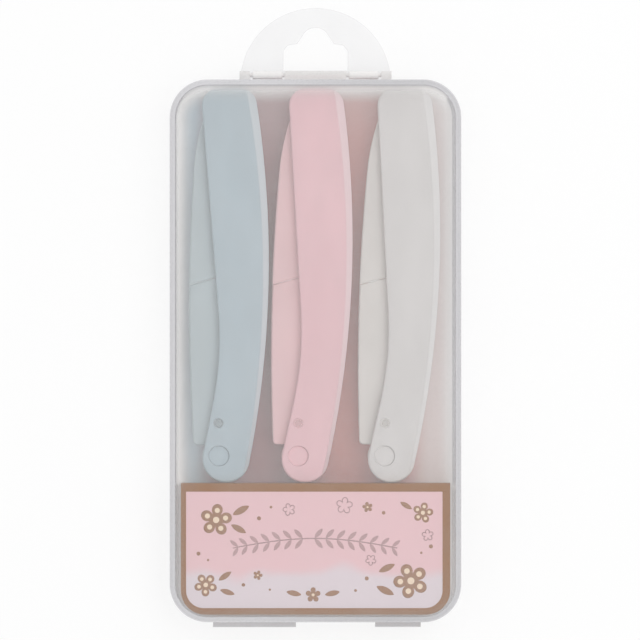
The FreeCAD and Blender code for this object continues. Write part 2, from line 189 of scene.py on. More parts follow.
STEM_WIDTH = 0.28
STAMP_LIFT = 0.012
STAMP_RISE = 0.02
GARLAND_START = (13.0, 16.6)
GARLAND_SPAN = 41.0
GARLAND_ARCH = 2.4
GARLAND_POINTS = 90
GARLAND_END = 3
GARLAND_PAIRS = 15
GARLAND_LEAN = 0.85
GARLAND_LEAF = 1.25
GARLAND_SWELL = 0.25
GARLAND_REACH = 1.15

# Stage, in metres, apart from the camera's sensor, which is in millimetres.
FLOOR_REACH = 3.0
FLOOR_STEPS = 5
FLOOR_GAP = 0.05 * MM
LAMP_SIZE = 0.7
LAMP_PLACE = (0.36, 0.17, 0.88)
SENSOR = 36.0
CLIP = (0.1, 10.0)
VIEW_CENTRE = (1.125 * MM, -0.75 * MM)
VIEW_LEVEL = 7.0 * MM


def tone(red, green, blue):
    """A screen colour of three 0 to 255 steps as the linear light that Blender works in."""
    steps = np.array([red, green, blue]) / 255.0
    linear = np.where(steps <= 0.04045, steps / 12.92, ((steps + 0.055) / 1.055) ** 2.4)
    return tuple(float(value) for value in linear)


def lifted(shade, lift):
    """A colour moved towards white by a part of the way."""
    shade = np.array(shade)
    return shade + (1.0 - shade) * lift


def colour(name, description, default):
    """A colour setting."""
    return bpy.props.FloatVectorProperty(
        name=name, description=description, default=default, subtype="COLOR", size=3, min=0.0, max=1.0
    )


def share(name, description, default):
    """A setting between nothing and all."""
    return bpy.props.FloatProperty(
        name=name, description=description, default=default, subtype="FACTOR", min=0.0, max=1.0
    )


def length(name, description, default):
    """A length setting, in metres."""
    return bpy.props.FloatProperty(
        name=name, description=description, default=default, subtype="DISTANCE", unit="LENGTH", min=0.0
    )


class Wire:
    """One socket inside a material. Arithmetic on wires adds Math nodes, and node() adds any other."""

    def __init__(self, tree, socket):
        self.tree = tree
        self.socket = socket

    def node(self, kind, settings=None, inputs=None, out=0):
        """Adds a node of a type: its settings first, then the values or links of its sockets."""
        made = self.tree.nodes.new(kind)
        for key, value in (settings or {}).items():
            setattr(made, key, value)
        for key, value in (inputs or {}).items():
            if isinstance(value, Wire):
                self.tree.links.new(value.socket, made.inputs[key])
            else:
                made.inputs[key].default_value = value
        return Wire(self.tree, made.outputs[out])

    def also(self, out):
        """Another output of the node that this wire leaves."""
        return Wire(self.tree, self.socket.node.outputs[out])

    def axes(self):
        """The three parts of a place: across, along and height."""
        across = self.node("ShaderNodeSeparateXYZ", None, {0: self})
        return across, across.also(1), across.also(2)

    def math(self, operation, *others):
        """A Math node with this wire first."""
        inputs = dict(enumerate((self, *others)))
        return self.node("ShaderNodeMath", {"operation": operation}, inputs)

    def __add__(self, other):
        return self.math("ADD", other)

    __radd__ = __add__

    def __mul__(self, other):
        return self.math("MULTIPLY", other)

    __rmul__ = __mul__

    def __sub__(self, other):
        return self.math("SUBTRACT", other)

    def __rsub__(self, other):
        return (self * -1.0) + other

    def __truediv__(self, other):
        return self.math("DIVIDE", other)

    def __pow__(self, other):
        return self.math("POWER", other)

    def __abs__(self):
        return self.math("ABSOLUTE")

    def least(self, other):
        """The lesser of this and another."""
        return self.math("MINIMUM", other)

    def most(self, other):
        """The greater of this and another."""
        return self.math("MAXIMUM", other)

    def ease(self, start, end):
        """Rises smoothly from 0 at start to 1 at end."""
        inputs = {"Value": self, "From Min": start, "From Max": end}
        return self.node("ShaderNodeMapRange", {"interpolation_type": "SMOOTHSTEP"}, inputs)

    def band(self, middle, half, soft):
        """1 within half of the middle, falling to 0 over the soft width on both sides."""
        return 1.0 - abs(self - middle).ease(half, half + soft)

    def between(self, low, high):
        """The colour on the way from low to high that this factor gives."""
        ends = {0: self}
        for key, value in ((6, low), (7, high)):
            ends[key] = value if isinstance(value, Wire) else (*value, 1.0)
        return self.node("ShaderNodeMix", {"data_type": "RGBA"}, ends, out=2)

    def noise(self, size, detail, stretch=(1.0, 1.0, 1.0)):
        """Cloudy values around a half, with features of a size in metres, stretched along the axes."""
        scale = tuple(1.0 / (size * part) for part in stretch)
        placed = self.node("ShaderNodeMapping", None, {"Vector": self, "Scale": scale})
        return self.node("ShaderNodeTexNoise", None, {"Vector": placed, "Scale": 1.0, "Detail": detail})

    def bump(self, depth, under=None):
        """The normal of a surface raised by up to a depth in metres where this wire is 1."""
        inputs = {"Height": self, "Strength": 1.0, "Distance": depth}
        if under is not None:
            inputs["Normal"] = under
        return self.node("ShaderNodeBump", None, inputs)

    def soft_edge(self, radius):
        """The normal of the surface with its sharp edges rounded to a radius."""
        return self.node("ShaderNodeBevel", {"samples": EDGE_SAMPLES}, {"Radius": radius})

    def edge_mask(self, radius):
        """1 on sharp edges, 0 away from them: how far the rounded normal turns from the plain one."""
        plain = self.node("ShaderNodeNewGeometry", None, None, out="Normal")
        inputs = {0: plain, 1: self.soft_edge(radius)}
        even = self.node("ShaderNodeVectorMath", {"operation": "DOT_PRODUCT"}, inputs, out="Value")
        return (1.0 - even).ease(*EDGE_TURN)


def new_material(name, **sockets):
    """A new material: the material, its shader node and the wire of its Object coordinates."""
    made = bpy.data.materials.new(name)
    made.use_nodes = True
    tree = made.node_tree
    shader = tree.nodes["Principled BSDF"]
    feed(shader, sockets)
    place = tree.nodes.new("ShaderNodeTexCoord").outputs["Object"]
    return made, shader, Wire(tree, place)


def feed(shader, sockets):
    """Sets or links sockets of a shader, named with their spaces as underscores."""
    for key, value in sockets.items():
        socket = shader.inputs[key.replace("_", " ")]
        if isinstance(value, Wire):
            value.tree.links.new(value.socket, socket)
        else:
            socket.default_value = value


def seen_plainly(tree):
    """1 for rays that show floor and room in the picture, through gloss and glass too, 0 for others."""
    path = Wire(tree, tree.nodes.new("ShaderNodeLightPath").outputs["Is Camera Ray"])
    return path.most(path.also("Is Glossy Ray")).most(path.also("Is Transmission Ray"))


def dress(node, material):
    """Gives a CAD node its material."""
    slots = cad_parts[node].data.materials
    slots.clear()
    slots.append(material)


def skin_faces(rows, columns, looped):
    """Faces of a closed skin, as index arrays: quads between its rings, and fans to a pole at each end.

    A looped skin joins its last ring to its first and has no poles.
    """
    ring = np.arange(columns)
    after = (ring + 1) % columns
    near = np.arange(rows if looped else rows - 1)[:, None] * columns
    far = (near + columns) % (rows * columns)
    quads = np.stack([near + ring, far + ring, far + after, near + after], axis=-1).reshape(-1, 4)
    if looped:
        return [quads]
    last = (rows - 1) * columns
    pole = rows * columns
    start = np.stack([np.full_like(ring, pole), ring, after], axis=-1)
    end = np.stack([last + after, last + ring, np.full_like(ring, pole + 1)], axis=-1)
    return [quads, start, end]


def faces_outwards(points, quads):
    """Whether a skin's faces point outwards: the volume under its quads' two triangles is positive."""
    middle = points.mean(0)
    a, b, c, d = (points[quads[:, side]] - middle for side in range(4))
    volume = np.einsum("ij,ij->", a, np.cross(b, c)) + np.einsum("ij,ij->", a, np.cross(c, d))
    return volume > 0.0


def skin_mesh(name, blocks, looped=False):
    """One mesh of closed skins, each given as rings x points x 3.

    A capped skin's poles are the means of its end rings.
    """
    corners, loops, sizes, offset = [], [], [], 0
    for block in blocks:
        rings, columns = block.shape[:2]
        points = block.reshape(-1, 3)
        if not looped:
            points = np.concatenate([points, block[0].mean(0)[None], block[-1].mean(0)[None]])
        groups = skin_faces(rings, columns, looped)
        turn = 1 if faces_outwards(points, groups[0]) else -1
        for faces in groups:
            loops.append((faces[:, ::turn] + offset).reshape(-1))
            sizes.append(np.full(len(faces), faces.shape[1]))
        corners.append(points)
        offset += len(points)
    points = np.concatenate(corners)
    loop = np.concatenate(loops).astype(np.int32)
    size = np.concatenate(sizes).astype(np.int32)
    mesh = bpy.data.meshes.new(name)
    mesh.vertices.add(len(points))
    mesh.vertices.foreach_set("co", points.astype(np.float32).reshape(-1))
    mesh.loops.add(len(loop))
    mesh.loops.foreach_set("vertex_index", loop)
    mesh.polygons.add(len(size))
    starts = np.concatenate([[0], np.cumsum(size)[:-1]]).astype(np.int32)
    mesh.polygons.foreach_set("loop_start", starts)
    mesh.polygons.foreach_set("loop_total", size)
    mesh.polygons.foreach_set("use_smooth", np.ones(len(size), dtype=bool))
    mesh.update(calc_edges=True)
    mesh.validate()
    return mesh


def piece(name, mesh, material, body):
    """Adds an object at the origin for a mesh, riding on a body."""
    made = bpy.data.objects.new(name, mesh)
    bpy.context.scene.collection.objects.link(made)
    mesh.materials.append(material)
    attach(made, body)


def spun(outline, place, size, turn):
    """A flat outline scaled, turned by an angle and moved to its place."""
    cosine, sine = math.cos(turn), math.sin(turn)
    return outline @ np.array([[cosine, sine], [-sine, cosine]]) * size + np.asarray(place)


def stamped_skin(outline, lift, rise):
    """A stamped plate: its outline drawn in to its middle, domed by a flat-topped curve.

    The front stands rise x (1 - share^6) over the lift, share being the way from middle to outline,
    and the back is flat, as far below the lift.
    """
    shares = np.array([0.12, 0.4, 0.66, 0.84, 0.94, 1.0])
    middle = outline.mean(0)
    flat = middle + (outline - middle)[None] * shares[:, None, None]
    height = np.broadcast_to((lift + rise * (1.0 - shares**6))[:, None, None], flat.shape[:2] + (1,))
    front = np.concatenate([flat, height], axis=2)
    back = front[[-1, 2]].copy()
    back[:, :, 2] = lift - rise
    return np.concatenate([front, back])


def ribbon_skin(path, width, lift, rise, looped):
    """A printed line: a low diamond profile carried along a flat path, square to it."""
    ahead = np.roll(path, -1, 0) - np.roll(path, 1, 0) if looped else np.gradient(path, axis=0)
    across = np.stack([-ahead[:, 1], ahead[:, 0]], axis=-1)
    across /= np.linalg.norm(across, axis=1, keepdims=True)
    side = np.array([-0.5, 0.0, 0.5, 0.0])
    flat = path[:, None] + across[:, None] * side[None, :, None] * width
    height = lift + rise * np.array([0.0, 1.0, 0.0, -1.0])
    tall = np.broadcast_to(height[None, :, None], flat.shape[:2] + (1,))
    return np.concatenate([flat, tall], axis=2)


def blossom_outline(petals, waist):
    """A round flower: radius waist + (1 - waist) x |cos(petals x angle / 2)|^0.6, once round."""
    angle = np.linspace(0.0, 2.0 * np.pi, petals * 16, endpoint=False)
    reach = waist + (1.0 - waist) * np.abs(np.cos(petals * angle / 2.0)) ** 0.6
    return np.stack([reach * np.cos(angle), reach * np.sin(angle)], axis=-1)


def leaf_outline(width):
    """A pointed leaf: cos(angle) long, and width x sin(angle) x |sin(angle)|^0.6 across, once round."""
    angle = np.linspace(0.0, 2.0 * np.pi, 40, endpoint=False)
    return np.stack([np.cos(angle), width * np.sin(angle) * np.abs(np.sin(angle)) ** 0.6], axis=-1)


def inset(place, low, high, radius):
    """How far a point is inside a rounded rectangle seen from the front, in metres."""
    middle = (low + high) / 2.0
    half = (high - low) / 2.0
    across, along, _ = place.axes()
    across = abs(across - middle.x) - (half.x - radius)
    along = abs(along - middle.y) - (half.y - radius)
    outside = (across.most(0.0) ** 2.0 + along.most(0.0) ** 2.0) ** 0.5
    return radius - outside - across.most(along).least(0.0)


def razor_spot(shade, across, along):
    """Where a point of a razor's own plan, measured from its pivot, lies in the set: turned, then moved."""
    low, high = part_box(shade + "_pivot_cap")
    pivot = (low + high) / 2.0
    turn = math.radians(TURNS[shade])
    spot_x = pivot.x + across * math.cos(turn) - along * math.sin(turn)
    spot_y = pivot.y + across * math.sin(turn) + along * math.cos(turn)
    return spot_x, spot_y


def reach_from(place, spot):
    """How far a point is from an upright line through a spot."""
    across, along, _ = place.axes()
    return ((across - spot[0]) ** 2.0 + (along - spot[1]) ** 2.0) ** 0.5


def bevel(place, shade, end_width, top_width):
    """1 on a handle's bevel, where a painted highlight goes; its width changes evenly from the pivot's end to
    the top.

    The bowed edge is an arc about a far centre. A point's depth in it is the radius less the point's
    reach from that centre.
    """
    start, end = (razor_spot(shade, 0.0, along)[1] for along in BEVEL_RUN)
    rise = (place.axes()[1] - start) / (end - start)
    width = end_width + rise * (top_width - end_width)
    depth = BOW_RADIUS - reach_from(place, razor_spot(shade, *BOW_CENTRE))
    return 1.0 - (depth - width).ease(*BEVEL_EDGE)


def lock_pip(place, shade):
    """1 on the front of the lock pip."""
    reach = reach_from(place, razor_spot(shade, 0.0, LOCK_REACH))
    return 1.0 - reach.ease(*(LOCK_RADII[0] - step for step in PIP_EDGE))


def ring_gap(place, shade, along, radii):
    """1 in the narrow ring between two radii about a spot above the pivot, away from the handle's faces."""
    low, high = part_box(shade + "_handle")
    inner, outer = radii
    far, near = RING_EDGE
    reach = reach_from(place, razor_spot(shade, 0.0, along))
    ring = reach.ease(inner - far, inner - near) * (1.0 - reach.ease(outer + near, outer + far))
    half = (high.z - low.z) / 2.0
    from_middle = abs(place.axes()[2] - (low.z + half))
    return ring * (1.0 - from_middle.ease(*(half - depth for depth in RING_DEPTHS)))


def lock_gap(place, shade):
    """How strongly painted light lifts the ring between the lock pip and its hole."""
    return ring_gap(place, shade, LOCK_REACH, LOCK_RADII) * LOCK_LIGHT_SHARE


def cap_gap(place, shade):
    """How strongly painted light lifts the ring between the pivot cap and its recess: much at the left,
    little at the right, where the recess keeps its shade.
    """
    left_share, right_share = CAP_LIGHT_SHARES
    middle = razor_spot(shade, 0.0, 0.0)[0]
    right = place.axes()[0].ease(middle - CAP_TURN, middle + CAP_TURN)
    return ring_gap(place, shade, 0.0, CAP_RADII) * (left_share - right * (left_share - right_share))


def seam_gap(place, shade):
    """1 in the slanted seam of the arm, within its width above a line.

    The line is start_y + slope x (across - start_x) in the razor's own plan.
    """
    turn = math.radians(TURNS[shade])
    start_x, start_y = razor_spot(shade, *SEAM_START)
    across, along, _ = place.axes()
    across_part = -math.sin(turn) - SEAM_SLOPE * math.cos(turn)
    along_part = math.cos(turn) - SEAM_SLOPE * math.sin(turn)
    over = (across - start_x) * across_part + (along - start_y) * along_part
    return over.band(SEAM_WIDTH / 2.0, SEAM_WIDTH / 2.0 + SEAM_SPARE, SEAM_EDGE)


# Narrow gaps of each part, where painted light lifts the shade that falls in them and a painted glow lights
# them.
LIT_GAPS = {"handle": (lock_gap, cap_gap), "arm": (lock_gap, seam_gap), "pivot": (cap_gap,)}


class RazorSetCase(bpy.types.PropertyGroup):
    """The hinged clear case."""

    haze: colour("Haze", "Milky tint of the clear plastic", tone(246, 244, 243))
    # The tray floor's tints are painted reflection and shade: the blue razor's colour thrown left of it, a
    # dim shade between the blue and pink razors, and the pink razor's warm light left of the white one.
    blue_reflection_shade: colour("Cool", "Cool tint of the tray floor left of the blue razor", tone(202, 219, 230))
    pink_reflection_shade: colour("Dusk", "Dim tint of the tray floor left of the pink razor", tone(174, 111, 114))
    glow: colour("Glow", "Warm tint of the tray floor left of the white razor", tone(216, 134, 124))
    rim: colour("Rim", "Tint of the walls seen along their height", tone(214, 213, 216))
    line: colour("Line", "Tint of the line at the inside of the walls", tone(198, 197, 200))
    veil: share("Veil", "How much the front of the lid hides", 0.115)
    card_thinning: share("Card thinning", "How much of its veil the lid loses over the card", 0.21)
    top_veil: share("Top veil", "How much more the lid hides along its top", 0.07)
    back_veil: share("Back veil", "How much the floor of the base hides", 0.68)
    rim_veil: share("Rim veil", "How much the front edge of the walls hides", 0.8)
    line_veil: share("Line veil", "How much more the line inside the rim hides", 0.21)
    # The pale band inside the rim, and the veils that make it, are a painted highlight.
    rim_highlight_veil: share("Strip veil", "How much more the lid's pale strip hides", 0.13)
    tray_rim_highlight_veil: share("Tray strip veil", "How much more the base's pale strip hides", 0.35)
    side_veil: share("Side veil", "How much the walls hide from the side", 0.12)
    tab_veil: share("Tab veil", "How much the hang tab hides", 0.09)
    hinge_veil: share("Hinge veil", "How much the lid's knuckles hide", 0.75)
    post_veil: share("Post veil", "How much the base's knuckles hide", 0.95)
    lip_veil: share("Lip veil", "How much the thumb lips hide", 0.65)
    edge_veil: share("Edge veil", "How much more sharp edges hide", 0.12)
    outer_edge_veil: share("Outer edge veil", "How much more sharp edges of tab, lips and hinge hide", 0.22)
    cloud_veil: share("Cloud veil", "How much the milky clouds change what the plastic hides", 0.05)
    card_trim: share("Card trim", "How much of the line and the strip shows over the card", 0.3)
    right_line: share("Right line", "How strong the broad line at the right wall is", 0.85)
    right_rim_highlight_cut: share("Right strip cut", "How much of the pale strip the right wall loses", 0.9)
    # These fade the tray's painted reflection and shade.
    right_fade: share("Right fade", "How much of its tint the tray loses right of the white razor", 0.75)
    top_fade: share("Top fade", "How much of its tint the tray loses at the top", 0.3)
    # The rim's painted light at the left and painted shade at the right.
    rim_painted_light: share("Rim lift", "How much lighter the rim is at the left", 0.07)
    rim_painted_shade: share("Rim drop", "How much darker the rim is at the right", 0.06)
    edge_tint: share("Edge tint", "How much sharp edges take of the line's tint", 0.45)
    rough: share("Roughness", "Least roughness of the plastic", 0.22)
    rough_grain: share("Grain roughness", "How much rougher the grain makes it", 0.12)
    corner: length("Corner radius", "Radius of the case corners seen from the front", 9.5 * MM)
    rim_width: length("Rim width", "Width of the dense rim seen from the front", 1.35 * MM)
    rim_highlight_width: length("Strip width", "Width of the pale strip inside the rim", 2.9 * MM)
    edge: length("Edge", "Radius that softens the sharp edges", 0.3 * MM)
    clouds: length("Clouds", "Size of the milky clouds", 9.0 * MM)
    grain: length("Grain", "Size of the moulded grain", 0.5 * MM)
    grain_depth: length("Grain depth", "Depth of the moulded grain", 0.002 * MM)


class RazorSetPlastics(bpy.types.PropertyGroup):
    """The three pastel plastics."""

    blue: colour("Blue", "Blue-grey plastic", tone(170, 185, 193))
    pink: colour("Pink", "Pink plastic", tone(225, 184, 190))
    white: colour("White", "White plastic", tone(208, 205, 204))
    flow: length("Flow", "Size of the flow clouds across a razor", 7.0 * MM)
    flow_change: share("Flow change", "How much the flow clouds change the colour", 0.03)
    grain: length("Grain", "Size of the moulded grain", 0.22 * MM)
    grain_depth: length("Grain depth", "Depth of the moulded grain", 0.004 * MM)
    edge: length("Edge", "Radius that softens the moulded edges", 0.35 * MM)
    # Lighter moulded edges are part rubbing, part painted highlight; the lighter bevel is a painted
    # highlight.
    edge_wear_and_highlight: share("Edge wear", "How much of the wear the moulded edges show", 0.4)
    wear_and_highlight: share("Wear", "How much lighter the rubbed edges and bevels are", 0.28)
    # The sunk pip's deeper colour is painted shade.
    pip: share("Pip", "How much deeper the colour of the sunk lock pip is", 0.55)
    # Painted light and a painted glow in narrow gaps, against the shade in them, standing in for light
    # through the plastic.
    gap_light: share("Well", "How much lighter the walls of narrow gaps are", 0.85)
    gap_glow: share("Bleed", "How much light comes through the plastic into narrow gaps", 0.8)
    # Widths of the painted highlight on the handle's bevel.
    bevel_end: length("Bevel at the end", "Width of the handle's bevel at the pivot", 0.8 * MM)
    bevel_top: length("Bevel at the top", "Width of the handle's bevel at the top", 2.2 * MM)
    arm_lift: share("Arm lift", "How much paler the arms are than the handles", 0.1)
    arm_tint: colour("Arm tint", "What the arms keep of their razor's colour", (1.0, 0.99, 0.96))
    pivot_lift: share("Pivot lift", "How much lighter the pivots are than the handles", 0.04)
    rough: share("Roughness", "Least roughness of the plastic", 0.40)
    rough_grain: share("Grain roughness", "How much rougher the grain makes it", 0.16)
    worn_gloss: share("Worn gloss", "How much smoother the rubbed edges and bevels are", 0.06)


class RazorSetSteel(bpy.types.PropertyGroup):
    """The steel of the three blades."""

    dark: colour("Dark", "Steel in the grinding lines", tone(176, 178, 182))
    bright: colour("Bright", "Steel between the grinding lines", tone(216, 218, 221))
    lines: length("Lines", "Size of the grinding lines before they are stretched", 1.0 * MM)
    line_depth: length("Line depth", "Depth of the grinding lines", 0.003 * MM)
    stains: length("Stains", "Size of the dull stains", 3.0 * MM)
    edge: length("Edge", "Radius that softens the blade's edges", 0.08 * MM)
    rough: share("Roughness", "Least roughness of the steel", 0.18)
    rough_lines: share("Line roughness", "How much rougher the lines make it", 0.12)
    rough_stains: share("Stain roughness", "How much rougher the stains make it", 0.05)


class RazorSetCard(bpy.types.PropertyGroup):
    """The printed insert card."""

    field: colour("Field", "Pink print of the upper part", tone(230, 192, 197))
    cloud: colour("Cloud", "Pale lilac print of the lower part", tone(221, 209, 215))
    fibre_tint: colour("Fibre tint", "Paper fibre that shows in the print", tone(250, 240, 240))
    fibre_show: share("Fibre show", "How much the paper fibre shows in the print", 0.25)
    bronze: colour("Bronze", "Bronze ink and foil", tone(136, 82, 14))
    gleam: colour("Gleam", "Bright fibre in the bronze border", tone(150, 104, 40))
    gleam_show: share("Gleam show", "How much the bright fibre shows in the border", 0.5)
    mauve: colour("Mauve", "Mauve ink of the garland", tone(170, 130, 132))
    cream: colour("Cream", "Cream foil in the blossoms", tone(232, 208, 180))
    left: length("Left border", "Width of the bronze border at the left", 1.3 * MM)
    right: length("Right border", "Width of the bronze border at the right", 1.9 * MM)
    top: length("Top border", "Width of the bronze border at the top", 2.1 * MM)
    bottom: length("Bottom border", "Width of the bronze border at the bottom", 1.6 * MM)
    top_corner: length("Top corner", "Radius of the field's upper corners", 0.2 * MM)
    foot_corner: length("Foot corner", "Radius of the field's lower corners", 4.4 * MM)
    print_edge: length("Print edge", "Softness of the field's edge", 0.04 * MM)
    cloud_size: length("Cloud size", "Size of the swells of the lilac clouds", 16.0 * MM)
    cloud_level: length("Cloud level", "Height of the lilac clouds over the card's foot", 9.5 * MM)
    cloud_swell: length("Cloud swell", "How far the lilac clouds rise and fall", 9.0 * MM)
    fibre: length("Fibre", "Size of the paper fibre", 0.25 * MM)
    fibre_depth: length("Fibre depth", "Depth of the paper fibre", 0.004 * MM)
    rough: share("Roughness", "Least roughness of the board", 0.5)
    rough_fibre: share("Fibre roughness", "How much rougher the fibre makes it", 0.2)
    border_gloss: share("Border gloss", "How much smoother the bronze border is", 0.12)
    border_sheen: share("Border sheen", "How metallic the bronze border is", 0.25)
    marks: length("Marks", "Size of the pressing marks in foil and ink", 0.35 * MM)
    mark_depth: length("Mark depth", "Depth of the pressing marks", 0.004 * MM)
    mark_lift: share("Mark lift", "How much lighter the pressing marks are", 0.12)
    mark_rough: share("Foil roughness", "Least roughness of foil and ink", 0.38)
    mark_grain: share("Mark roughness", "How much rougher the pressing marks make them", 0.18)


class RazorSetStage(bpy.types.PropertyGroup):
    """The studio."""

    glow: share("Floor glow", "How much of the floor that the camera sees is plain white", 0.8)
    floor: colour("Floor", "Colour of the floor", tone(253, 253, 253))
    speck: colour("Speck", "Colour of the faint specks on the floor", tone(251, 251, 251))
    speck_size: length("Speck size", "Size of the faint specks on the floor", 30.0 * MM)
    fill: bpy.props.FloatProperty(
        name="Fill", description="Strength of the light from all round", default=0.8, min=0.0
    )
    key: bpy.props.FloatProperty(
        name="Key", description="Power of the large soft lamp", default=2.2, subtype="POWER", unit="POWER"
    )
    frame_width: length("Frame width", "Width that the picture takes in at the case", 160.0 * MM)
    distance: length("Distance", "Distance of the camera from the case", 2500.0 * MM)


class RAZORSET_OT_case(bpy.types.Operator):
    """Finish the base, the lid and the hinge pin of the clear case"""

    bl_idname = "razor_set.case"
    bl_label = "Finish Case"

    def execute(self, context):
        look = context.scene.razor_case
        lid_levels = [LID_HIGH.z - depth for depth in FACE_DEPTHS]
        base_levels = [BASE_LOW.z + depth for depth in FACE_DEPTHS]
        lid = self.plastic(look, "case_lid_plastic", lid_levels, self.lid_pane)
        base = self.plastic(look, "case_base_plastic", base_levels, self.tray_pane)
        dress("case_lid", lid)
        dress("case_base", base)
        dress("hinge_pin", base)
        return {"FINISHED"}

    def plastic(self, look, name, levels, pane):
        """Milky clear plastic: dense at its rim and sharp edges, with a line inside it and a pale band of
        painted highlight inside that.
        """
        made, shader, place = new_material(name, **MOULDED)
        zone = self.zones(look, place, levels)
        veil, tint, rim_highlight_veil, hinge_veil = pane(look, zone)
        clouds = place.noise(look.clouds, detail=3.0)
        grain = place.noise(look.grain, detail=2.0)
        sockets = {
            "Base_Color": self.tint(look, zone, tint),
            "Alpha": self.veil(look, zone, veil, rim_highlight_veil, hinge_veil, clouds),
            "Roughness": look.rough + grain * look.rough_grain,
            "Normal": grain.bump(look.grain_depth),
        }
        feed(shader, sockets)
        return made

    def zones(self, look, place, levels):
        """Where a point is on the case: its place and depth in metres, and the rest as shares from 0 to 1."""
        across, along, height = place.axes()
        depth = inset(place, CASE_LOW, CASE_HIGH, look.corner)
        inside = look.rim_width
        bare = along.ease(*CARD_EDGE)
        trim = look.card_trim + bare * (1.0 - look.card_trim)
        right = across.ease(*RIGHT_WALL)
        line, right_line = (depth.band(inside + middle, *width) for middle, *width in (LINE, RIGHT_LINE))
        # A painted highlight: a pale band inside the rim, weaker over the card and cut at the right wall.
        strip = depth.ease(inside, inside + RIM_HIGHLIGHT_START) * trim * (1.0 - right * look.right_rim_highlight_cut)
        return types.SimpleNamespace(
            across=across,
            along=along,
            depth=depth,
            bare=bare,
            face=height.ease(*levels),
            rim=1.0 - depth.ease(*(inside + step for step in RIM_EDGE)),
            line=line.most(right_line * right * look.right_line) * trim,
            strip=strip * (1.0 - depth.ease(inside + RIM_HIGHLIGHT_FADE, inside + look.rim_highlight_width)),
            outside=1.0 - depth.ease(*OUTLINE),
            upper=along.ease(*UPPER_HALF),
            raised=height.ease(*RAISED),
            edges=place.edge_mask(look.edge),
        )

    def lid_pane(self, look, zone):
        """The lid's veil, thin over the card and dense on top, its tint, and the veils of its highlight band
        and hinge.
        """
        veil = look.veil - (1.0 - zone.bare) * (look.card_thinning * look.veil)
        veil = veil + zone.along.ease(*LID_TOP) * look.top_veil
        return veil, tuple(look.haze), look.rim_highlight_veil, look.hinge_veil

    def tray_pane(self, look, zone):
        """The base's veil and its tint, painted reflection and shade, and the veils of its highlight band and
        hinge.
        """
        # Painted reflection and shade on the tray floor, fading near the walls, right of the white razor, and
        # at the top past the blue razor.
        past_blue = zone.across.ease(*BLUE_RUN)
        tint = past_blue.between(tuple(look.blue_reflection_shade), tuple(look.pink_reflection_shade))
        tint = zone.across.ease(*PINK_RUN).between(tint, tuple(look.glow))
        reflection_shade_share = zone.depth.ease(*TRAY_EDGE) * (1.0 - zone.across.ease(*WHITE_RUN) * look.right_fade)
        reflection_shade_share = reflection_shade_share * (1.0 - zone.along.ease(*TRAY_TOP) * past_blue * look.top_fade)
        return look.back_veil, reflection_shade_share.between(tuple(look.haze), tint), look.tray_rim_highlight_veil, look.post_veil

    def veil(self, look, zone, pane, rim_highlight_veil, hinge_veil, clouds):
        """How much the plastic hides: its walls, its faces inside the outline, and what stands past it."""
        front = pane + zone.rim * (look.rim_veil - pane)
        # The pale band's veil adds the painted highlight inside the rim.
        front = front + zone.line * look.line_veil + zone.strip * rim_highlight_veil
        proud = look.lip_veil + zone.upper * (hinge_veil - look.lip_veil)
        proud = look.tab_veil + zone.raised * (proud - look.tab_veil)
        veil = look.side_veil + zone.face * (front - look.side_veil)
        veil = veil + zone.outside * (proud - veil)
        edge_veil = look.edge_veil + zone.outside * (look.outer_edge_veil - look.edge_veil)
        veil = veil + (clouds - 0.5) * look.cloud_veil + zone.edges * edge_veil
        return veil.most(0.0).least(1.0)

    def tint(self, look, zone, pane):
        """The plastic's colour: that of the pane, the rim with painted light at the left and painted shade at
        the right, what stands past it, and its line and edges.
        """
        rim = np.array(look.rim)
        # Painted light on the left of the rim, painted shade on the right.
        left_rim, right_rim = rim * (1.0 + look.rim_painted_light), rim * (1.0 - look.rim_painted_shade)
        rim_light_and_shade = zone.across.ease(*RIM_RUN).between(left_rim, right_rim)
        proud = (zone.upper * zone.raised).between(tuple(look.rim), tuple(look.haze))
        shade = zone.outside.between(zone.rim.between(pane, rim_light_and_shade), proud)
        drawn = (zone.line * zone.face).most(zone.edges * look.edge_tint)
        return drawn.between(shade, tuple(look.line))


